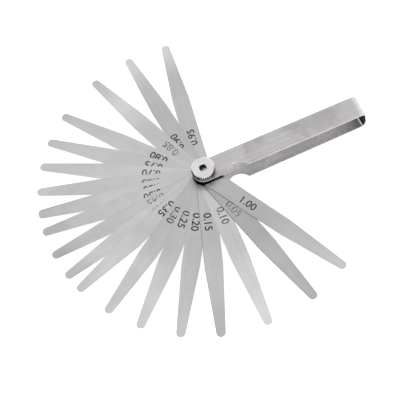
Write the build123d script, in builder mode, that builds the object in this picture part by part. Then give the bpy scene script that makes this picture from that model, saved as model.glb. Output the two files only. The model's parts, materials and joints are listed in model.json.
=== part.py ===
from build123d import *
import math
import os

# Twenty-leaf feeler gauge, in millimetres.
# The pivot axis is Z. The origin is the centre of the screw head's flat underside,
# and the sheath lies along +X. The leaves are fanned out round the open side.

# Leaves, from the bottom of the stack to the top: thickness and fan angle from +X, in degrees
leaf_fan = [
    (0.95, 81.5), (0.90, 96.0), (0.85, 111.0), (0.80, 128.5), (0.75, 140.0),
    (0.70, 150.0), (0.65, 160.0), (0.60, 168.5), (0.55, 169.0), (0.50, 176.0),
    (0.45, 185.5), (0.40, 194.5), (0.35, 201.0), (0.30, 213.5), (0.25, 225.5),
    (0.20, 239.0), (0.15, 252.0), (0.10, 267.5), (0.05, 284.5), (1.00, 298.5),
]
leaf_width = 10.0
leaf_reach = 95.0            # pivot to tip, so a leaf is 100 mm from end to end
leaf_parallel = 55.5         # pivot to the start of the taper
leaf_tip_radius = 2.45
leaf_shoulder_radius = 60.0  # soft change from parallel to taper
leaf_gap = 0.02              # play between neighbours in the stack

# Sheath, one strip folded round the far end
sheet = 0.8
sheath_width = 13.0
fold_height = 13.9           # over both sides at the fold
flat_end = 9.0               # pivot to where the flats round the pivot turn into the long sides
lower_rise = 1.1             # slope of the lower side towards the fold, in degrees
upper_fall = 0.25            # slope of the upper side towards the fold, in degrees
slope_radius = 150.0         # soft change from the flats to the long sides
bend_start = 94.3            # pivot to the end of the long sides
bend_corner_radius = 2.8     # outside radius of each corner of the fold
bend_wall_radius = 20.8      # outside radius of the slightly crowned end wall
notch_centre = (17.4, -10.25)
notch_radius = 7.85
notch_corner_radius = 0.6
sheath_edge_radius = 0.15

# Pivot screw
head_diameter = 9.0
head_height = 1.2
head_edge_radius = 0.3
neck_width = 4.4             # square neck that keeps the screw from turning
neck_play = 0.05
collar_radius = 4.0          # collar that carries the leaves
collar_height = 1.88
collar_gap = 0.02
shank_radius = 2.0
shank_play = 0.06            # radial play of each leaf on the shank
plate_hole_play = 0.15       # radial play in the sheath's upper side
screw_end_depth = 2.2        # how far the screw's end stands below the nut's top
screw_end_chamfer = 0.5
thread_pitch = 0.7
thread_depth = 0.35
thread_half_width = 0.32

# Knurled nut
nut_radius = 6.6
nut_height = 4.6
nut_chamfer = 0.5
nut_seat_gap = 0.02
nut_bore_play = 0.05
nut_bore_chamfer = 0.25
knurl_count = 36
knurl_depth = 0.42
knurl_half_width = 0.52

# Heights and radii that follow from the sizes above
sheath_base = head_height
collar_base = sheath_base + sheet + collar_gap
stack_base = collar_base + collar_height
leaf_hole_radius = shank_radius + shank_play
nut_bore_radius = shank_radius + nut_bore_play

os.makedirs("parts", exist_ok=True)


# Sheath ---------------------------------------------------------------------------------
# Angle from the middle of the end wall to where it runs into a corner
wall_half_angle = math.degrees(
    math.asin((fold_height / 2 - bend_corner_radius) / (bend_wall_radius - bend_corner_radius))
)
corner_angle = 90 - (lower_rise + upper_fall) / 2 - wall_half_angle
sheath_end = sheath_width / 2
hole_reach = neck_width / 2 + 4 * neck_play    # no hole edge has its middle further out than this

with BuildPart() as sheath:
    with BuildSketch(Plane.XZ):
        with BuildLine():
            flat_a = Line((-sheath_end, sheath_base), (flat_end, sheath_base))
            slope_a = JernArc(flat_a @ 1, flat_a % 1, slope_radius, lower_rise)
            run_a = (bend_start - (slope_a @ 1).X) / math.cos(math.radians(lower_rise))
            lower = Line(slope_a @ 1, (slope_a @ 1) + (slope_a % 1) * run_a)
            corner_a = JernArc(lower @ 1, lower % 1, bend_corner_radius, corner_angle)
            wall = JernArc(corner_a @ 1, corner_a % 1, bend_wall_radius, 2 * wall_half_angle)
            corner_b = JernArc(wall @ 1, wall % 1, bend_corner_radius, corner_angle)
            upper = Line(corner_b @ 1, (corner_b @ 1) + (corner_b % 1) * run_a)
            slope_b = JernArc(upper @ 1, upper % 1, slope_radius, upper_fall)
            sheath_top = (slope_b @ 1).Y
            Line(slope_b @ 1, (-sheath_end, sheath_top))
            offset(amount=sheet, side=Side.LEFT)
        make_face()
    extrude(amount=sheath_width / 2, both=True)

    # Plan outline: round pivot end, and the finger notch in one long edge of both sides
    with BuildSketch(Plane.XY.offset(sheath_base)):
        with Locations((bend_start / 2 + sheath_end, 0)):
            Rectangle(bend_start + 2 * sheath_end, sheath_width)
        Circle(sheath_width / 2)
        with Locations(notch_centre):
            Circle(notch_radius, mode=Mode.SUBTRACT)
        notch_corners = vertices().filter_by(
            lambda v: abs(v.Y + sheath_width / 2) < 0.01 and 5 < v.X < 30
        )
        fillet(notch_corners, notch_corner_radius)
    extrude(amount=sheath_top - sheath_base, mode=Mode.INTERSECT)

    # Square hole below for the screw's neck, round hole above for its shank
    with BuildSketch(Plane.XY.offset(sheath_base)):
        Rectangle(neck_width + 2 * neck_play, neck_width + 2 * neck_play)
    extrude(amount=sheet, mode=Mode.SUBTRACT)
    with BuildSketch(Plane.XY.offset(sheath_top - sheet)):
        Circle(shank_radius + plate_hole_play)
    extrude(amount=sheet, mode=Mode.SUBTRACT)

    # The strip's cut edges are eased all round, but not at the two holes
    long_edges = sheath.edges().filter_by(lambda e: math.hypot(e.center().X, e.center().Y) > hole_reach)
    cut_edges = long_edges - long_edges.filter_by(Axis.Z) - long_edges.filter_by(Axis.Y)
    fillet(cut_edges, sheath_edge_radius)

nut_base = sheath_top + nut_seat_gap
nut_top = nut_base + nut_height
screw_end = nut_top - screw_end_depth

sheath.part.label = "sheath"
export_step(sheath.part, "parts/sheath.step")


# Leaves ---------------------------------------------------------------------------------
# The tapered edge runs from the shoulder to where it touches the round tip
tip_centre = leaf_reach - leaf_tip_radius
shoulder_to_tip = math.hypot(tip_centre - leaf_parallel, leaf_width / 2)
taper_angle = math.asin(leaf_width / 2 / shoulder_to_tip) - math.asin(leaf_tip_radius / shoulder_to_tip)
tip_touch = (
    tip_centre + leaf_tip_radius * math.sin(taper_angle),
    leaf_tip_radius * math.cos(taper_angle),
)


def make_leaf(thickness, angle, base):
    """One leaf of the given thickness, turned to its fan angle, with its lower face at base."""
    plane = Plane.XY.offset(base).rotated((0, 0, angle))
    with BuildPart() as leaf:
        with BuildSketch(plane):
            with BuildLine():
                edge = Polyline((0, leaf_width / 2), (leaf_parallel, leaf_width / 2), tip_touch)
                mirror(edge, about=Plane.XZ)
                ThreePointArc(tip_touch, (leaf_reach, 0), (tip_touch[0], -tip_touch[1]))
                ThreePointArc((0, leaf_width / 2), (-leaf_width / 2, 0), (0, -leaf_width / 2))
            make_face()
            shoulders = vertices().filter_by(lambda v: abs(v.X - leaf_parallel) < 0.01)
            fillet(shoulders, leaf_shoulder_radius)
            Circle(leaf_hole_radius, mode=Mode.SUBTRACT)
        extrude(amount=thickness)
    return leaf


leaf_base = stack_base + leaf_gap
for thickness, angle in leaf_fan:
    leaf = make_leaf(thickness, angle, leaf_base)
    name = f"leaf_{thickness:.2f}".replace(".", "_")
    leaf.part.label = name
    export_step(leaf.part, f"parts/{name}.step")
    leaf_base += thickness + leaf_gap


# Pivot screw ----------------------------------------------------------------------------
with BuildPart() as pivot_screw:
    with BuildSketch():
        Circle(head_diameter / 2)
    extrude(amount=head_height)
    fillet(pivot_screw.edges().sort_by(Axis.Z)[0], head_edge_radius)
    with BuildSketch(Plane.XY.offset(head_height)):
        Rectangle(neck_width, neck_width)
    extrude(amount=sheet + collar_gap)
    with BuildSketch(Plane.XY.offset(collar_base)):
        Circle(collar_radius)
    extrude(amount=collar_height)
    with BuildSketch(Plane.XY.offset(stack_base)):
        Circle(shank_radius)
    extrude(amount=screw_end - stack_base)
    chamfer(pivot_screw.edges().sort_by(Axis.Z)[-1], screw_end_chamfer)

    # Thread in the nut's length, as a row of V grooves
    groove_count = int((screw_end - screw_end_chamfer - sheath_top) / thread_pitch)
    with BuildSketch(Plane.XZ):
        for turn in range(groove_count):
            groove_z = sheath_top + (turn + 0.5) * thread_pitch
            with BuildLine():
                Polyline(
                    (shank_radius, groove_z - thread_half_width),
                    (shank_radius - thread_depth, groove_z),
                    (shank_radius, groove_z + thread_half_width),
                    close=True,
                )
            make_face()
    revolve(axis=Axis.Z, mode=Mode.SUBTRACT)

pivot_screw.part.label = "pivot_screw"
export_step(pivot_screw.part, "parts/pivot_screw.step")


# Knurled nut ----------------------------------------------------------------------------
with BuildPart() as knurled_nut:
    with BuildSketch(Plane.XY.offset(nut_base)):
        Circle(nut_radius)
    extrude(amount=nut_height)
    rims = knurled_nut.edges().filter_by(GeomType.CIRCLE)
    chamfer(rims, nut_chamfer)

    # Straight knurl: V grooves all round, cut through the full height
    with BuildSketch() as groove:
        with BuildLine():
            Polyline((0, -knurl_half_width), (-knurl_depth, 0), (0, knurl_half_width), close=True)
        make_face()
    with BuildSketch(Plane.XY.offset(nut_base)):
        with PolarLocations(nut_radius, knurl_count):
            add(groove.sketch)
    extrude(amount=nut_height, mode=Mode.SUBTRACT)

    # Threaded bore, right through
    with BuildSketch(Plane.XY.offset(nut_base)):
        Circle(nut_bore_radius)
    extrude(amount=nut_height, mode=Mode.SUBTRACT)
    bore_rims = knurled_nut.edges().filter_by(
        lambda e: e.geom_type == GeomType.CIRCLE and abs(e.radius - nut_bore_radius) < 0.001
    )
    chamfer(bore_rims, nut_bore_chamfer)
    bore_turns = int((nut_height - 2 * nut_bore_chamfer) / thread_pitch)
    first_turn = nut_base + (nut_height - (bore_turns - 1) * thread_pitch) / 2
    with BuildSketch(Plane.XZ):
        for turn in range(bore_turns):
            groove_z = first_turn + turn * thread_pitch
            with BuildLine():
                Polyline(
                    (nut_bore_radius, groove_z - thread_half_width),
                    (nut_bore_radius + thread_depth, groove_z),
                    (nut_bore_radius, groove_z + thread_half_width),
                    close=True,
                )
            make_face()
    revolve(axis=Axis.Z, mode=Mode.SUBTRACT)

knurled_nut.part.label = "knurled_nut"
export_step(knurled_nut.part, "parts/knurled_nut.step")
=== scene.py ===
import bpy
import json
import math
from mathutils import Matrix, Vector


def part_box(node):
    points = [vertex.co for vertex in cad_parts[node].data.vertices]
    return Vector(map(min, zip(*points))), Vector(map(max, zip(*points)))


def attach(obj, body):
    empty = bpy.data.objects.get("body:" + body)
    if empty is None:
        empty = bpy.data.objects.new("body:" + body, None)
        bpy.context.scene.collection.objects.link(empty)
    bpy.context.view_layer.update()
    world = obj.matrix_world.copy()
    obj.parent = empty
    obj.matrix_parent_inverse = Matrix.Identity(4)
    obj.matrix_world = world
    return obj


# Feeler gauge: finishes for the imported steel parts, and the etched numbers on the leaves.
# Everything is in metres, with the pivot axis on Z and the sheath along +X.

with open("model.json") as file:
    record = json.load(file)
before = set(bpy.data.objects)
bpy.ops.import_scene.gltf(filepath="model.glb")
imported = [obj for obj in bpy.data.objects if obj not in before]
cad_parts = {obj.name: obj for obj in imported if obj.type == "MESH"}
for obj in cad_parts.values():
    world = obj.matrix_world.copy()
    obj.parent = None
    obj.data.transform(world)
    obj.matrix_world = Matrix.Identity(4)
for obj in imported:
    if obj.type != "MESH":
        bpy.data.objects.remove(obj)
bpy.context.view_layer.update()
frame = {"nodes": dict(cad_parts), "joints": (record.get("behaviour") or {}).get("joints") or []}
nodes = frame["nodes"]
mm = 0.001
print("frame loaded:", len(nodes), "parts")


# small helpers for node trees

def feed(tree, socket, value):
    if isinstance(value, bpy.types.NodeSocket):
        tree.links.new(value, socket)
    elif value is not None:
        socket.default_value = value


def calc(tree, operation, a, b=None, c=None):
    node = tree.nodes.new("ShaderNodeMath")
    node.operation = operation
    for socket, value in zip(node.inputs, (a, b, c)):
        feed(tree, socket, value)
    return node.outputs[0]


def remap(tree, value, low, high, toLow=0.0, toHigh=1.0):
    node = tree.nodes.new("ShaderNodeMapRange")
    node.interpolation_type = "SMOOTHSTEP"
    settings = {"Value": value, "From Min": low, "From Max": high, "To Min": toLow, "To Max": toHigh}
    for name, setting in settings.items():
        feed(tree, node.inputs[name], setting)
    return node.outputs["Result"]


def mixColour(tree, mask, a, b):
    node = tree.nodes.new("ShaderNodeMix")
    node.data_type = "RGBA"
    for index, value in ((0, mask), (6, a), (7, b)):
        feed(tree, node.inputs[index], value)
    return node.outputs[2]


def mixValue(tree, mask, a, b):
    node = tree.nodes.new("ShaderNodeMix")
    for index, value in ((0, mask), (2, a), (3, b)):
        feed(tree, node.inputs[index], value)
    return node.outputs[0]


def scaled(tree, colour, amount):
    node = tree.nodes.new("ShaderNodeVectorMath")
    node.operation = "SCALE"
    feed(tree, node.inputs[0], colour[:3])
    feed(tree, node.inputs["Scale"], amount)
    return node.outputs[0]


def shaded(tree, tone, mask, low, high):
    # the tone times a factor, which goes from low to high as the mask goes from 0 to 1
    return calc(tree, "MULTIPLY", tone, remap(tree, mask, 0.0, 1.0, low, high))


def planDistance(tree, x, y):
    squares = calc(tree, "ADD", calc(tree, "MULTIPLY", x, x), calc(tree, "MULTIPLY", y, y))
    return calc(tree, "SQRT", squares)


def split(tree, vector):
    node = tree.nodes.new("ShaderNodeSeparateXYZ")
    feed(tree, node.inputs[0], vector)
    return node.outputs


def noise(tree, vector, scale, detail=3.0, roughness=0.5, distortion=0.0):
    node = tree.nodes.new("ShaderNodeTexNoise")
    settings = {"Vector": vector, "Scale": scale, "Detail": detail,
                "Roughness": roughness, "Distortion": distortion}
    for name, value in settings.items():
        feed(tree, node.inputs[name], value)
    return node.outputs["Fac"]


# effects shared by more than one finish

def newGroup(name, inputs, outputs):
    tree = bpy.data.node_groups.new(name, "ShaderNodeTree")
    for socketName, kind, value in inputs:
        socket = tree.interface.new_socket(
            name=socketName, in_out="INPUT", socket_type="NodeSocket" + kind)
        if value is not None:
            socket.default_value = value
    for socketName in outputs:
        tree.interface.new_socket(name=socketName, in_out="OUTPUT", socket_type="NodeSocketFloat")
    start = tree.nodes.new("NodeGroupInput")
    end = tree.nodes.new("NodeGroupOutput")
    return tree, start.outputs, end.inputs


def place(tree, group, **values):
    node = tree.nodes.new("ShaderNodeGroup")
    node.node_tree = group
    for name, value in values.items():
        feed(tree, node.inputs[name], value)
    return node.outputs


def buildRolledGrain():
    # fine lines that rolling leaves along the strip, and the broad bands under them
    tree, given, out = newGroup("rolledGrain",
                                [("Vector", "Vector", None), ("Fineness", "Float", 6000.0),
                                 ("Stretch", "Float", 0.012)],
                                ["Lines", "Bands"])
    along = calc(tree, "MULTIPLY", given["Fineness"], given["Stretch"])
    x, y, z = split(tree, given["Vector"])
    join = tree.nodes.new("ShaderNodeCombineXYZ")
    feed(tree, join.inputs[0], calc(tree, "MULTIPLY", x, along))
    feed(tree, join.inputs[1], calc(tree, "MULTIPLY", y, given["Fineness"]))
    feed(tree, join.inputs[2], calc(tree, "MULTIPLY", z, given["Fineness"]))
    fade = (0.3, 0.7)
    bandScale = 0.07    # bands are this much coarser than lines
    fine = noise(tree, join.outputs[0], 1.0, 3.0, 0.6)
    feed(tree, out["Lines"], remap(tree, fine, *fade))
    broad = noise(tree, join.outputs[0], bandScale, 2.0, 0.5)
    feed(tree, out["Bands"], remap(tree, broad, *fade))
    return tree


def buildHandling():
    # finger smudges and a thin oil film, and scattered small specks
    tree, given, out = newGroup("handling",
                                [("Vector", "Vector", None), ("Size", "Float", 0.02)],
                                ["Smudge", "Specks"])
    smudgeFade = (0.35, 0.68)
    speckFade = (0.70, 0.78)    # only the noise's peaks make specks
    specksPerSmudge = 42.0
    density = calc(tree, "DIVIDE", 1.0, given["Size"])
    film = noise(tree, given["Vector"], density, 4.0, 0.55, 0.6)
    feed(tree, out["Smudge"], remap(tree, film, *smudgeFade))
    fine = noise(tree, given["Vector"], calc(tree, "MULTIPLY", density, specksPerSmudge), 2.0, 0.5)
    feed(tree, out["Specks"], remap(tree, fine, *speckFade))
    return tree


def buildScratches():
    # sparse hairlines at two crossing angles
    tree, given, out = newGroup("hairScratches",
                                [("Vector", "Vector", None), ("Fineness", "Float", 2600.0)],
                                ["Scratch"])
    stretch = 0.03
    fade = (0.73, 0.80)
    hairs = []
    for angle in (24.0, -37.0):    # degrees
        turn = tree.nodes.new("ShaderNodeMapping")
        turn.inputs["Rotation"].default_value[2] = math.radians(angle)
        feed(tree, turn.inputs["Vector"], given["Vector"])
        x, y, z = split(tree, turn.outputs[0])
        join = tree.nodes.new("ShaderNodeCombineXYZ")
        along = calc(tree, "MULTIPLY", given["Fineness"], stretch)
        feed(tree, join.inputs[0], calc(tree, "MULTIPLY", x, along))
        feed(tree, join.inputs[1], calc(tree, "MULTIPLY", y, given["Fineness"]))
        hairs.append(remap(tree, noise(tree, join.outputs[0], 1.0, 1.0), *fade))
    feed(tree, out["Scratch"], calc(tree, "MAXIMUM", *hairs))
    return tree


def buildTurnedRings():
    # rings that a lathe tool leaves round the pivot axis
    tree, given, out = newGroup("turnedRings",
                                [("Vector", "Vector", None), ("Pitch", "Float", 0.00012)],
                                ["Rings", "Radius"])
    wanderScale = 260.0
    wanderTurns = 3.0    # how far the rings wander from true, in pitches
    x, y, z = split(tree, given["Vector"])
    radius = planDistance(tree, x, y)
    wander = calc(tree, "MULTIPLY", noise(tree, given["Vector"], wanderScale, 2.0), wanderTurns)
    phase = calc(tree, "ADD", calc(tree, "DIVIDE", radius, given["Pitch"]), wander)
    wave = calc(tree, "SINE", calc(tree, "MULTIPLY", phase, math.tau))
    feed(tree, out["Rings"], calc(tree, "MULTIPLY_ADD", wave, 0.5, 0.5))
    feed(tree, out["Radius"], radius)
    return tree


def buildCutSide():
    # mask of the faces across a sheet's thickness, from how level the face is
    tree, given, out = newGroup("cutSide", [("Normal", "Vector", None)], ["Mask"])
    fade = (0.55, 0.9)
    level = calc(tree, "ABSOLUTE", split(tree, given["Normal"])[2])
    feed(tree, out["Mask"], remap(tree, level, *fade, 1.0, 0.0))
    return tree


rolledGrain = buildRolledGrain()
handling = buildHandling()
hairScratches = buildScratches()
turnedRings = buildTurnedRings()
cutSide = buildCutSide()
print("shared effects built")


def newMetal(name):
    material = bpy.data.materials.new(name)
    material.use_nodes = True
    tree = material.node_tree
    shader = tree.nodes["Principled BSDF"]
    shader.inputs["Metallic"].default_value = 1.0
    coords = tree.nodes.new("ShaderNodeTexCoord").outputs["Object"]
    normal = tree.nodes.new("ShaderNodeNewGeometry").outputs["Normal"]
    return material, tree, shader.inputs, coords, normal


def addBump(tree, inputs, height, depth):
    bump = tree.nodes.new("ShaderNodeBump")
    bump.inputs["Strength"].default_value = 1.0
    bump.inputs["Distance"].default_value = depth
    feed(tree, bump.inputs["Height"], height)
    feed(tree, inputs["Normal"], bump.outputs[0])


def grey(value, tint=(1.0, 1.0, 1.0)):
    return (value * tint[0], value * tint[1], value * tint[2], 1.0)


def dress(node, material):
    node.data.materials.clear()
    node.data.materials.append(material)


# leaves

leafLook = {
    "steel": 0.51,                  # reflectance of a leaf that lies quite flat
    "tint": (1.014, 0.996, 1.0),
    "grainFineness": 7000.0,
    "grainStretch": 0.010,
    "lineDepth": 0.0012 * mm,
    "scratchDepth": -0.8,           # in line depths
    "bandTone": (0.98, 1.02),
    "lineTone": (0.985, 1.015),
    "smudgeSize": 22 * mm,
    "smudgeTone": (1.02, 0.965),
    "speckShade": 0.82,
    "roughness": 0.29,
    "lineRough": (-0.03, 0.04),     # change in roughness over the rolled lines
    "smudgeRough": 0.07,
    "sideRough": 0.15,
    "sidePaintedHighlight": 1.9,               # painted highlight: the cut sides are made bright
    "leafShadeReach": 6.6 * mm,           # painted shade: black round the pivot, hidden by the sheath's end
    "leafShadeFade": 0.2 * mm,
    "leafShadeShift": 0.45 * mm,            # how far the black's centre sits towards the front
    "leafShadeTone": 0.07,
    "edgeBand": 0.30 * mm,          # width of the painted shade line along the leaf's edges
    "edgePaintedShade": 0.85,
    "curlShadeBand": 0.45 * mm,
    "paintedLightPlaces": (45 * mm, 68 * mm, 91 * mm),    # where each leaf's three values of painted light and shade hold
    "patternStep": 0.1,             # moves the patterns on, so that no two leaves are alike
    "halfWidth": 5.0 * mm,
    "parallelEnd": 55.5 * mm,
    "reach": 95.0 * mm,
    "tipRadius": 2.45 * mm,
}

# painted shade: some of the thin leaves have a dark line along one edge, for the shadow where that edge
# curls up
leafCurlShade = {"leaf_0_15": 0.50, "leaf_0_05": 0.08}

# painted light and shade: how bright each leaf is made by the pivot, half way and at its tip, as its
# slight bow catches the light
leafPaintedLight = {
    "leaf_0_95": (0.99, 0.95, 1.22), "leaf_0_90": (0.88, 0.93, 1.19), "leaf_0_85": (0.94, 1.17, 1.00),
    "leaf_0_80": (1.00, 1.01, 0.95), "leaf_0_75": (1.00, 0.97, 0.96), "leaf_0_70": (1.04, 0.99, 0.94),
    "leaf_0_65": (0.98, 0.90, 0.97), "leaf_0_60": (1.05, 0.94, 0.62), "leaf_0_55": (1.00, 0.95, 0.85),
    "leaf_0_50": (0.99, 0.94, 0.83), "leaf_0_45": (0.94, 0.90, 0.75), "leaf_0_40": (1.03, 1.03, 0.88),
    "leaf_0_35": (0.97, 1.08, 0.98), "leaf_0_30": (0.89, 1.03, 1.00), "leaf_0_25": (0.90, 1.07, 1.14),
    "leaf_0_20": (0.92, 0.98, 1.01), "leaf_0_15": (0.91, 0.98, 0.88), "leaf_0_10": (1.04, 1.22, 1.33),
    "leaf_0_05": (0.80, 0.90, 0.89), "leaf_1_00": (0.86, 0.98, 1.08),
}


def fanAngle(name):
    # every leaf's travel starts at the folded position, so its start gives the fan angle
    for joint in frame["joints"]:
        if joint["child"] == name:
            return math.radians(-joint["range_deg"][0])


def buildLeafOutline(look):
    # distance in from a leaf's edge, in the leaf's own line: x out from the pivot, y across
    tree, given, out = newGroup("leafOutline", [("Vector", "Vector", None)], ["Inset", "Along"])
    x, y, z = split(tree, given["Vector"])
    across = calc(tree, "ABSOLUTE", y)
    tipCentre = look["reach"] - look["tipRadius"]
    taper = (look["halfWidth"] - look["tipRadius"]) / (tipCentre - look["parallelEnd"])
    beyond = calc(tree, "MAXIMUM", calc(tree, "SUBTRACT", x, look["parallelEnd"]), 0.0)
    halfWidth = calc(tree, "MULTIPLY_ADD", beyond, -taper, look["halfWidth"])
    sideInset = calc(tree, "SUBTRACT", halfWidth, across)
    fromTip = planDistance(tree, calc(tree, "SUBTRACT", x, tipCentre), y)
    tipInset = calc(tree, "SUBTRACT", look["tipRadius"], fromTip)
    rootInset = calc(tree, "SUBTRACT", look["halfWidth"], planDistance(tree, x, y))
    pastTip = calc(tree, "GREATER_THAN", x, tipCentre)
    behind = calc(tree, "LESS_THAN", x, 0.0)
    middle = calc(tree, "SUBTRACT", calc(tree, "SUBTRACT", 1.0, pastTip), behind)
    atTip = calc(tree, "MULTIPLY", tipInset, pastTip)
    ends = calc(tree, "MULTIPLY_ADD", rootInset, behind, atTip)
    feed(tree, out["Inset"], calc(tree, "MULTIPLY_ADD", sideInset, middle, ends))
    feed(tree, out["Along"], x)
    return tree


leafOutline = buildLeafOutline(leafLook)


def leafSteel(name, look):
    material, tree, inputs, coords, normal = newMetal(name + "Steel")
    turn = tree.nodes.new("ShaderNodeMapping")
    turn.inputs["Rotation"].default_value[2] = -fanAngle(name)
    turn.inputs["Location"].default_value[2] = look["patternStep"] * list(leafPaintedLight).index(name)
    feed(tree, turn.inputs["Vector"], coords)
    own = turn.outputs[0]
    grain = place(tree, rolledGrain, Vector=own,
                  Fineness=look["grainFineness"], Stretch=look["grainStretch"])
    touch = place(tree, handling, Vector=own, Size=look["smudgeSize"])
    hair = place(tree, hairScratches, Vector=own)["Scratch"]
    outline = place(tree, leafOutline, Vector=own)
    side = place(tree, cutSide, Normal=normal)["Mask"]

    # painted light and shade along the leaf, from its three values
    rootLight, middleLight, tipLight = leafPaintedLight[name]
    nearPivot, halfWay, nearTip = look["paintedLightPlaces"]
    paintedLight = remap(tree, outline["Along"], nearPivot, halfWay, rootLight, middleLight)
    outward = remap(tree, outline["Along"], halfWay, nearTip, 0.0, tipLight - middleLight)
    tone = calc(tree, "ADD", paintedLight, outward)
    tone = shaded(tree, tone, grain["Bands"], *look["bandTone"])
    tone = shaded(tree, tone, grain["Lines"], *look["lineTone"])
    tone = shaded(tree, tone, touch["Smudge"], *look["smudgeTone"])
    # painted shade: a darker line along the leaf's edges
    edge = remap(tree, outline["Inset"], 0.0, look["edgeBand"], 1.0, 0.0)
    tone = shaded(tree, tone, edge, 1.0, look["edgePaintedShade"])
    # painted shade along the curled edge of some thin leaves
    if name in leafCurlShade:
        curl = remap(tree, outline["Inset"], 0.0, look["curlShadeBand"], 1.0, 0.0)
        curl = calc(tree, "MULTIPLY", curl, calc(tree, "LESS_THAN", split(tree, own)[1], 0.0))
        tone = shaded(tree, tone, curl, 1.0, leafCurlShade[name])
    # painted highlight on the cut sides
    tone = shaded(tree, tone, side, 1.0, look["sidePaintedHighlight"])
    tone = shaded(tree, tone, touch["Specks"], 1.0, look["speckShade"])
    # painted shade: black round the pivot, under the sheath's end
    x, y, z = split(tree, coords)
    fromShadeCentre = planDistance(tree, x, calc(tree, "ADD", y, look["leafShadeShift"]))
    pivotDark = remap(tree, fromShadeCentre, look["leafShadeReach"], look["leafShadeReach"] + look["leafShadeFade"], 1.0, 0.0)
    tone = shaded(tree, tone, pivotDark, 1.0, look["leafShadeTone"])
    feed(tree, inputs["Base Color"], scaled(tree, grey(look["steel"], look["tint"]), tone))

    smoothest, roughest = look["lineRough"]
    rough = remap(tree, grain["Lines"], 0.0, 1.0,
                  look["roughness"] + smoothest, look["roughness"] + roughest)
    rough = calc(tree, "ADD", rough, remap(tree, touch["Smudge"], 0.0, 1.0, 0.0, look["smudgeRough"]))
    feed(tree, inputs["Roughness"], calc(tree, "MULTIPLY_ADD", side, look["sideRough"], rough))
    height = calc(tree, "MULTIPLY_ADD", hair, look["scratchDepth"], grain["Lines"])
    addBump(tree, inputs, height, look["lineDepth"])
    return material


for name in leafPaintedLight:
    dress(nodes[name], leafSteel(name, leafLook))
print("leaves finished:", len(leafPaintedLight))


# etched thickness numbers, read outward from the pivot

markLook = {
    "start": 23.9 * mm,     # pivot to the start of the number
    "width": 6.3 * mm,      # letter size along the leaf and across it
    "height": 6.0 * mm,
    "bold": 0.014,
    "aside": -2.7 * mm,     # foot of the number, from the leaf's centre line
    "proud": 0.004 * mm,
    "sunk": 0.010 * mm,
    "ink": 0.010,
    "roughness": 0.6,
    "patchScale": 420.0,    # size and strength of the patches where the black has worn off
    "patchStrength": 1.3,
    "patchFade": (0.1, 0.9),
    "bareShade": 0.8,       # worn spots against the leaf's own steel, and how much duller they are
    "bareRough": 0.1,
    "pitScale": 9000.0,
    "pitDepth": 0.004 * mm,
}

# no two numbers came out the same: how much black is left in each, from 0, rubbed off, to about 1,
# fresh, and how far it sits outward and aside of the usual place, in mm
stamps = {
    "leaf_0_95": (1.0, 0.0, 0.7), "leaf_0_90": (1.0, 0.6, 2.3), "leaf_0_85": (0.5, -0.8, 0.2),
    "leaf_0_80": (1.0, 0.8, 0.2), "leaf_0_75": (0.8, 1.3, 0.3), "leaf_0_70": (0.7, 1.3, 0.1),
    "leaf_0_65": (0.55, 0.8, 0.8), "leaf_0_60": (0.55, 1.0, 0.95), "leaf_0_55": (0.8, 0.5, 0.5),
    "leaf_0_50": (0.8, 1.3, 1.0), "leaf_0_45": (0.45, 1.0, -0.3), "leaf_0_40": (0.3, 1.0, 0.4),
    "leaf_0_35": (1.1, -0.5, 0.3), "leaf_0_30": (0.7, 0.0, 0.0), "leaf_0_25": (0.8, 0.0, 0.0),
    "leaf_0_20": (1.1, 0.0, 0.0), "leaf_0_15": (1.0, 0.0, 0.0), "leaf_0_10": (0.65, -1.6, 1.1),
    "leaf_0_05": (0.45, -2.0, 0.0), "leaf_1_00": (0.85, 1.6, 0.2),
}


def etchedBlack(name, ink, look):
    material, tree, inputs, coords, normal = newMetal(name)
    patch = calc(tree, "SUBTRACT", noise(tree, coords, look["patchScale"], 3.0, 0.6), 0.5)
    left = calc(tree, "MULTIPLY_ADD", patch, look["patchStrength"], ink)
    mask = remap(tree, left, *look["patchFade"])
    bare = grey(leafLook["steel"] * look["bareShade"])
    feed(tree, inputs["Base Color"], mixColour(tree, mask, bare, grey(look["ink"])))
    feed(tree, inputs["Metallic"], calc(tree, "SUBTRACT", 1.0, mask))
    bareRough = leafLook["roughness"] + look["bareRough"]
    feed(tree, inputs["Roughness"], remap(tree, mask, 0.0, 1.0, bareRough, look["roughness"]))
    addBump(tree, inputs, noise(tree, coords, look["pitScale"], 2.0), look["pitDepth"])
    return material


def makeMark(leafName, look):
    curve = bpy.data.curves.new(leafName, "FONT")
    curve.body = leafName.removeprefix("leaf_").replace("_", ".")
    curve.extrude = 1.0
    curve.resolution_u = 8
    curve.offset = look["bold"]
    text = bpy.data.objects.new("text", curve)
    bpy.context.scene.collection.objects.link(text)
    bpy.context.view_layer.update()
    depsgraph = bpy.context.evaluated_depsgraph_get()
    mesh = bpy.data.meshes.new_from_object(text.evaluated_get(depsgraph))
    bpy.data.objects.remove(text)

    thick = look["proud"] + look["sunk"]
    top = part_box(leafName)[1].z + look["proud"]
    fit = Matrix.Diagonal((look["width"], look["height"], thick / 2, 1.0))
    ink, outward, aside = stamps[leafName]
    foot = (look["start"] + outward * mm, look["aside"] + aside * mm, top - thick / 2)
    lay = Matrix.Translation(foot)
    mesh.transform(Matrix.Rotation(fanAngle(leafName), 4, "Z") @ lay @ fit)

    mark = bpy.data.objects.new(leafName.replace("leaf", "mark"), mesh)
    bpy.context.scene.collection.objects.link(mark)
    dress(mark, etchedBlack(mark.name + "Black", ink, look))
    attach(mark, leafName)


for name in stamps:
    makeMark(name, markLook)
print("numbers etched:", len(stamps))


# sheath

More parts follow.
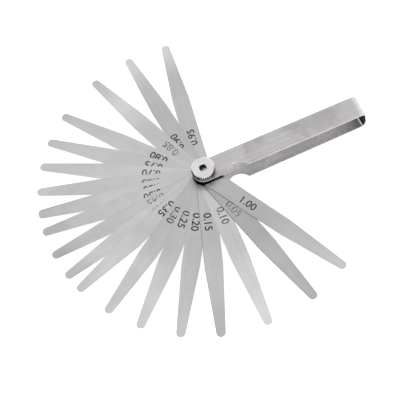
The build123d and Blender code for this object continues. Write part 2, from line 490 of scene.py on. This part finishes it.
sheathLook = {
    "steel": 0.48,
    "tint": (1.016, 0.997, 0.99),
    "grainFineness": 5200.0,
    "grainStretch": 0.014,
    "lineDepth": 0.0015 * mm,
    "scratchFineness": 2100.0,
    "scratchDepth": -0.9,           # in line depths
    "bandTone": (0.95, 1.05),
    "lineTone": (0.975, 1.025),
    "smudgeSize": 17 * mm,
    "smudgeTone": (1.05, 0.87),
    "speckShade": 0.8,
    "roughness": 0.36,
    "lineRough": (-0.04, 0.05),
    "smudgeRough": 0.08,
    "bendStart": 94.3 * mm,
    "bendHighlight": 1.22,               # painted highlight: the outside is made brighter where it turns into the fold
    "bendHighlightReach": 2 * mm,
    "innerShade": 1.16,             # the inside is duller than the rolled outside, and painted paler for the light that reaches in at the open side
    "innerRoughness": 0.5,
    "scuffScale": 620.0,            # scuffs that the leaves leave on the inside
    "scuffTone": (1.08, 0.90),
    "pivotShade": 0.07,             # painted shade: black between the sides round the pivot
    "pivotShadeReach": 8.0 * mm,
    "pivotShadeFade": 3 * mm,
    "foldShade": 0.81,              # painted shade: how dark the inside gets towards the fold, from here
    "foldFrom": 70 * mm,
    "wallShade": 0.10,              # and painted shade on the end wall, past the bend's start
    "wallFade": (0.6 * mm, 1.4 * mm),
    "creaseHighlight": 1.95,            # painted highlight along the inner crease below
    "creasePlace": 0.9 * mm,
    "creaseFade": (0.1 * mm, 0.5 * mm),
    "upperCutHighlight": 1.42,               # painted highlight on the sheared edge of the upper side, painted shade on the lower one
    "lowerCutShade": 0.42,
    "burnish": 0.4 * mm,            # painted highlight on the upper edge near the pivot, above the part painted black as shade
    "burnishHighlight": 1.95,
    "burnishEnd": (10 * mm, 13 * mm),
    "fractureFade": 0.1 * mm,
}


def sheathSteel(look):
    material, tree, inputs, coords, normal = newMetal("sheathSteel")
    low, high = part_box("sheath")
    middleZ = (low.z + high.z) / 2
    bend = look["bendStart"]
    grain = place(tree, rolledGrain, Vector=coords,
                  Fineness=look["grainFineness"], Stretch=look["grainStretch"])
    touch = place(tree, handling, Vector=coords, Size=look["smudgeSize"])
    hair = place(tree, hairScratches, Vector=coords, Fineness=look["scratchFineness"])["Scratch"]
    side = place(tree, cutSide, Normal=normal)["Mask"]
    x, y, z = split(tree, coords)
    upper = calc(tree, "GREATER_THAN", z, middleZ)

    # cut edges: everywhere on the flats, and on the fold only where the face looks sideways
    beforeBend = calc(tree, "LESS_THAN", x, bend)
    acrossSheath = calc(tree, "ABSOLUTE", split(tree, normal)[1])
    cut = calc(tree, "MULTIPLY", side, beforeBend)
    cut = calc(tree, "MAXIMUM", cut, remap(tree, acrossSheath, 0.5, 0.9))
    # painted highlight on the upper cut edges, painted shade on the lower ones
    cutTone = calc(tree, "MULTIPLY_ADD", upper, look["upperCutHighlight"] - look["lowerCutShade"], look["lowerCutShade"])
    nearPivot = calc(tree, "MULTIPLY", remap(tree, x, *look["burnishEnd"], 1.0, 0.0), upper)
    cutTone = mixValue(tree, nearPivot, cutTone, look["burnishHighlight"])
    # painted shade: the edge's lower part near the pivot is black
    burnishFoot = high.z - look["burnish"]
    fracture = remap(tree, z, burnishFoot - look["fractureFade"], burnishFoot, 1.0, 0.0)
    cutTone = mixValue(tree, calc(tree, "MULTIPLY", fracture, nearPivot), cutTone, look["pivotShade"])

    # the inside is where the face looks back towards the middle of the space between the sides
    outward = tree.nodes.new("ShaderNodeCombineXYZ")
    feed(tree, outward.inputs[0], calc(tree, "MAXIMUM", calc(tree, "SUBTRACT", x, bend), 0.0))
    feed(tree, outward.inputs[2], calc(tree, "SUBTRACT", z, middleZ))
    facing = tree.nodes.new("ShaderNodeVectorMath")
    facing.operation = "DOT_PRODUCT"
    feed(tree, facing.inputs[0], normal)
    feed(tree, facing.inputs[1], outward.outputs[0])
    inside = remap(tree, facing.outputs["Value"], -1.0 * mm, -0.2 * mm, 1.0, 0.0)

    # painted shade inside: darker towards the fold, black round the pivot and on the end wall
    insideTone = remap(tree, x, look["foldFrom"], bend, look["innerShade"], look["foldShade"])
    pivotDark = remap(tree, x, look["pivotShadeReach"], look["pivotShadeReach"] + look["pivotShadeFade"], 1.0, 0.0)
    insideTone = mixValue(tree, pivotDark, insideTone, look["pivotShade"])
    # painted shade on the end wall inside the fold
    wallStart, wallFull = look["wallFade"]
    wall = remap(tree, x, bend + wallStart, bend + wallFull)
    insideTone = mixValue(tree, wall, insideTone, look["wallShade"])
    # painted highlight along the inner crease
    fromCrease = calc(tree, "ABSOLUTE", calc(tree, "SUBTRACT", x, bend + look["creasePlace"]))
    crease = remap(tree, fromCrease, *look["creaseFade"], 1.0, 0.0)
    crease = calc(tree, "MULTIPLY", crease, calc(tree, "SUBTRACT", 1.0, upper))
    insideTone = mixValue(tree, crease, insideTone, look["creaseHighlight"])
    scuffs = noise(tree, coords, look["scuffScale"], 3.0, 0.6)
    insideTone = calc(tree, "MULTIPLY", insideTone, remap(tree, scuffs, 0.35, 0.65, *look["scuffTone"]))
    # painted highlight where the outside turns into the fold
    outsideTone = remap(tree, x, bend - look["bendHighlightReach"], bend, 1.0, look["bendHighlight"])

    tone = remap(tree, grain["Bands"], 0.0, 1.0, *look["bandTone"])
    tone = shaded(tree, tone, grain["Lines"], *look["lineTone"])
    tone = shaded(tree, tone, touch["Smudge"], *look["smudgeTone"])
    tone = shaded(tree, tone, touch["Specks"], 1.0, look["speckShade"])
    tone = calc(tree, "MULTIPLY", tone, mixValue(tree, inside, outsideTone, insideTone))
    tone = calc(tree, "MULTIPLY", tone, mixValue(tree, cut, 1.0, cutTone))
    feed(tree, inputs["Base Color"], scaled(tree, grey(look["steel"], look["tint"]), tone))

    smoothest, roughest = look["lineRough"]
    rough = remap(tree, grain["Lines"], 0.0, 1.0,
                  look["roughness"] + smoothest, look["roughness"] + roughest)
    rough = calc(tree, "ADD", rough, remap(tree, touch["Smudge"], 0.0, 1.0, 0.0, look["smudgeRough"]))
    feed(tree, inputs["Roughness"], mixValue(tree, inside, rough, look["innerRoughness"]))
    height = calc(tree, "MULTIPLY_ADD", hair, look["scratchDepth"], grain["Lines"])
    addBump(tree, inputs, height, look["lineDepth"])
    return material


dress(nodes["sheath"], sheathSteel(sheathLook))
print("sheath finished")


# knurled nut and pivot screw

nutLook = {
    "nickel": 0.665,
    "tint": (1.022, 0.995, 1.004),
    "roughness": 0.22,
    "smudgeRough": 0.1,
    "smudgeSize": 6 * mm,
    "smudgeTone": (1.03, 0.95),
    "ringPitch": 0.16 * mm,
    "ringDepth": 0.0022 * mm,
    "ringTone": (0.985, 1.01),
    "knurlFloor": 6.17 * mm,
    "knurlTop": 6.58 * mm,
    # painted shade in the knurl's grooves and in the bore
    "knurlShade": 0.05,
    "knurlRough": 0.25,
    "knurlShadeFrom": 2.6 * mm,         # painted shade: the knurl is darker on its two sides, away from the front, from here
    "knurlShadeFull": 3.8 * mm,
    "knurlShadeMiddle": -1.0 * mm,
    "knurlShadeMost": 0.90,
    "rimShade": -6.15 * mm,           # painted shade also over the rim on one side, beyond this
    "rimShadeFade": 0.1 * mm,
    "bevelHighlight": 1.42,               # painted highlight: the bevels are made the brightest
    # painted shade in the bore, below this depth under the top
    "boreReach": 2.50 * mm,
    "boreDepth": 0.35 * mm,
}


def nutNickel(look):
    material, tree, inputs, coords, normal = newMetal("nutNickel")
    turned = place(tree, turnedRings, Vector=coords, Pitch=look["ringPitch"])
    touch = place(tree, handling, Vector=coords, Size=look["smudgeSize"])
    side = place(tree, cutSide, Normal=normal)["Mask"]
    radius = turned["Radius"]
    x, y, z = split(tree, coords)

    # three kinds of face by their slope: the knurled side, the bevels, and the flat top and bottom
    slope = calc(tree, "ABSOLUTE", split(tree, normal)[2])
    upright = remap(tree, slope, 0.3, 0.5, 1.0, 0.0)
    notFlat = remap(tree, slope, 0.75, 0.95, 1.0, 0.0)
    bevel = calc(tree, "MULTIPLY", remap(tree, slope, 0.3, 0.6), notFlat)

    # painted shade in the knurl's grooves, and on its two sides
    deepKnurl = remap(tree, radius, look["knurlFloor"], look["knurlTop"], 1.0, 0.0)
    # painted shade on the knurl's two sides
    sideways = calc(tree, "ABSOLUTE", calc(tree, "SUBTRACT", x, look["knurlShadeMiddle"]))
    knurlSideShade = remap(tree, sideways, look["knurlShadeFrom"], look["knurlShadeFull"], 0.0, look["knurlShadeMost"])
    deepKnurl = calc(tree, "MAXIMUM", deepKnurl, knurlSideShade)
    outer = calc(tree, "GREATER_THAN", radius, look["knurlFloor"] * 0.9)    # leaves the bore out
    knurl = calc(tree, "MULTIPLY", calc(tree, "MULTIPLY", deepKnurl, outer), upright)
    # painted shade in the bore
    belowTop = calc(tree, "LESS_THAN", z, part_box("knurled_nut")[1].z - look["boreDepth"])
    bore = calc(tree, "MULTIPLY", calc(tree, "LESS_THAN", radius, look["boreReach"]), belowTop)
    # painted shade over the rim on one side
    rimShadeStart = look["rimShade"] - look["rimShadeFade"]
    rimShadeEnd = look["rimShade"] + look["rimShadeFade"]
    rimShade = calc(tree, "MULTIPLY", remap(tree, x, rimShadeStart, rimShadeEnd, 1.0, 0.0), notFlat)
    # all the painted shade on the nut
    dark = calc(tree, "MAXIMUM", calc(tree, "MAXIMUM", knurl, bore), rimShade)

    tone = remap(tree, touch["Smudge"], 0.0, 1.0, *look["smudgeTone"])
    tone = shaded(tree, tone, turned["Rings"], *look["ringTone"])
    # painted highlight on the bevels
    tone = shaded(tree, tone, bevel, 1.0, look["bevelHighlight"])
    tone = calc(tree, "MULTIPLY", tone, mixValue(tree, dark, 1.0, look["knurlShade"]))
    feed(tree, inputs["Base Color"], scaled(tree, grey(look["nickel"], look["tint"]), tone))
    rough = remap(tree, touch["Smudge"], 0.0, 1.0,
                  look["roughness"], look["roughness"] + look["smudgeRough"])
    feed(tree, inputs["Roughness"], calc(tree, "MULTIPLY_ADD", dark, look["knurlRough"], rough))
    ringOnTop = calc(tree, "MULTIPLY", turned["Rings"], calc(tree, "SUBTRACT", 1.0, side))
    addBump(tree, inputs, ringOnTop, look["ringDepth"])
    return material


screwLook = {
    "steel": 0.58,
    "tint": (1.004, 1.0, 0.996),
    "roughness": 0.30,
    "smudgeRough": 0.12,
    "smudgeSize": 8 * mm,
    "smudgeTone": (1.04, 0.92),
    "ringPitch": 0.20 * mm,
    "ringDepth": 0.002 * mm,
    "ringTone": (0.97, 1.02),
    "shank": 1.95 * mm,
    "threadFloor": 1.70 * mm,
    "threadShade": 0.4,
    "threadRough": 0.2,
    "endShade": 0.10,               # painted shade over the back half of the screw's end, inside the nut's bore
    "endShadeFade": (-0.2 * mm, 0.7 * mm),
    "endFront": (0.35, -0.92),      # x and y of the way in which the end gets lighter
}


def screwSteel(look):
    material, tree, inputs, coords, normal = newMetal("screwSteel")
    turned = place(tree, turnedRings, Vector=coords, Pitch=look["ringPitch"])
    touch = place(tree, handling, Vector=coords, Size=look["smudgeSize"])
    side = place(tree, cutSide, Normal=normal)["Mask"]
    # darker in the thread grooves
    groove = remap(tree, turned["Radius"], look["threadFloor"], look["shank"], 1.0, 0.0)
    grooveDark = calc(tree, "MULTIPLY", groove, side)
    tone = remap(tree, touch["Smudge"], 0.0, 1.0, *look["smudgeTone"])
    tone = shaded(tree, tone, turned["Rings"], *look["ringTone"])
    tone = shaded(tree, tone, grooveDark, 1.0, look["threadShade"])
    # painted shade over the back half of the screw's end, above the sheath
    x, y, z = split(tree, coords)
    frontX, frontY = look["endFront"]
    toFront = calc(tree, "MULTIPLY_ADD", y, frontY, calc(tree, "MULTIPLY", x, frontX))
    endTone = remap(tree, toFront, *look["endShadeFade"], look["endShade"], 1.0)
    above = calc(tree, "GREATER_THAN", z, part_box("sheath")[1].z)
    tone = calc(tree, "MULTIPLY", tone, mixValue(tree, above, 1.0, endTone))
    feed(tree, inputs["Base Color"], scaled(tree, grey(look["steel"], look["tint"]), tone))
    rough = remap(tree, touch["Smudge"], 0.0, 1.0,
                  look["roughness"], look["roughness"] + look["smudgeRough"])
    feed(tree, inputs["Roughness"], calc(tree, "MULTIPLY_ADD", grooveDark, look["threadRough"], rough))
    ringOnFlat = calc(tree, "MULTIPLY", turned["Rings"], calc(tree, "SUBTRACT", 1.0, side))
    addBump(tree, inputs, ringOnFlat, look["ringDepth"])
    return material


dress(nodes["knurled_nut"], nutNickel(nutLook))
dress(nodes["pivot_screw"], screwSteel(screwLook))
print("nut and screw finished")


# floor, light and camera

studioLook = {
    "floorSize": 6.0,
    "floorDrop": 0.02 * mm,
    "floorWhite": 0.82,
    "floorMottle": 0.99,
    "floorGlow": 0.60,
    "floorRoughness": 0.9,
    "floorSpecular": 0.1,
    "skyBright": 1.0,       # overhead and behind
    "skyDim": 0.30,         # low in front
    "skyBack": 0.6,         # how much the way back, and the way up, counts in that
    "skyUp": 0.8,
    "skyFade": (-0.1, 0.62),
}


def buildFloor(look):
    half = look["floorSize"] / 2
    corners = [(-half, -half), (half, -half), (half, half), (-half, half)]
    mesh = bpy.data.meshes.new("floor")
    mesh.from_pydata([(x, y, -look["floorDrop"]) for x, y in corners], [], [(0, 1, 2, 3)])
    floor = bpy.data.objects.new("floor", mesh)
    bpy.context.scene.collection.objects.link(floor)
    material = bpy.data.materials.new("paleFloor")
    material.use_nodes = True
    tree = material.node_tree
    inputs = tree.nodes["Principled BSDF"].inputs
    coords = tree.nodes.new("ShaderNodeTexCoord").outputs["Object"]
    tone = remap(tree, noise(tree, coords, 3.0, 2.0), 0.3, 0.7, look["floorMottle"], 1.0)
    feed(tree, inputs["Base Color"], scaled(tree, grey(look["floorWhite"]), tone))
    inputs["Roughness"].default_value = look["floorRoughness"]
    inputs["Specular IOR Level"].default_value = look["floorSpecular"]
    inputs["Emission Color"].default_value = grey(1.0)
    inputs["Emission Strength"].default_value = look["floorGlow"]
    dress(floor, material)


def buildSky(look):
    world = bpy.data.worlds.new("softTent")
    world.use_nodes = True
    tree = world.node_tree
    direction = tree.nodes.new("ShaderNodeTexCoord").outputs["Generated"]
    x, y, z = split(tree, direction)
    behind = calc(tree, "MULTIPLY_ADD", y, look["skyBack"], calc(tree, "MULTIPLY", z, look["skyUp"]))
    strength = remap(tree, behind, *look["skyFade"], look["skyDim"], look["skyBright"])
    feed(tree, tree.nodes["Background"].inputs["Strength"], strength)
    tree.nodes["Background"].inputs["Color"].default_value = grey(1.0)
    bpy.context.scene.world = world


lamps = [
    # name, place, width, watts
    ("bigSoftbox", (-0.35, 0.45, 0.9), 0.7, 0.35),
    ("frontFill", (0.2, -0.8, 0.55), 1.2, 3.0),
    ("leftStrip", (-0.5, -0.9, 0.35), 0.2, 0.4),
    ("rightStrip", (0.85, 0.45, 0.40), 1.0, 1.2),
]


def addLamp(name, place, width, watts):
    light = bpy.data.lights.new(name, "AREA")
    light.shape = "SQUARE"
    light.size = width
    light.energy = watts
    lamp = bpy.data.objects.new(name, light)
    lamp.location = place
    lamp.rotation_euler = (-Vector(place)).to_track_quat("-Z", "Y").to_euler()
    bpy.context.scene.collection.objects.link(lamp)


cameraLook = {
    "aim": (-7.9 * mm, -11.6 * mm, 9.1 * mm),
    "around": -13.1,        # degrees about Z, from looking along +Y
    "tilt": 25.6,           # degrees from straight down
    "roll": -11.4,
    "distance": 580 * mm,
    "lens": 94.1,
}


def buildCamera(look):
    data = bpy.data.cameras.new("camera")
    data.lens = look["lens"]
    camera = bpy.data.objects.new("camera", data)
    turn = [Matrix.Rotation(math.radians(look[key]), 4, axis)
            for key, axis in (("around", "Z"), ("tilt", "X"), ("roll", "Z"))]
    back = Matrix.Translation((0, 0, look["distance"]))
    camera.matrix_world = Matrix.Translation(look["aim"]) @ turn[0] @ turn[1] @ turn[2] @ back
    bpy.context.scene.collection.objects.link(camera)
    bpy.context.scene.camera = camera


buildFloor(studioLook)
buildSky(studioLook)
for lamp in lamps:
    addLamp(*lamp)
buildCamera(cameraLook)
bpy.context.scene.view_settings.view_transform = "Standard"
print("studio ready")

bpy.context.view_layer.update()
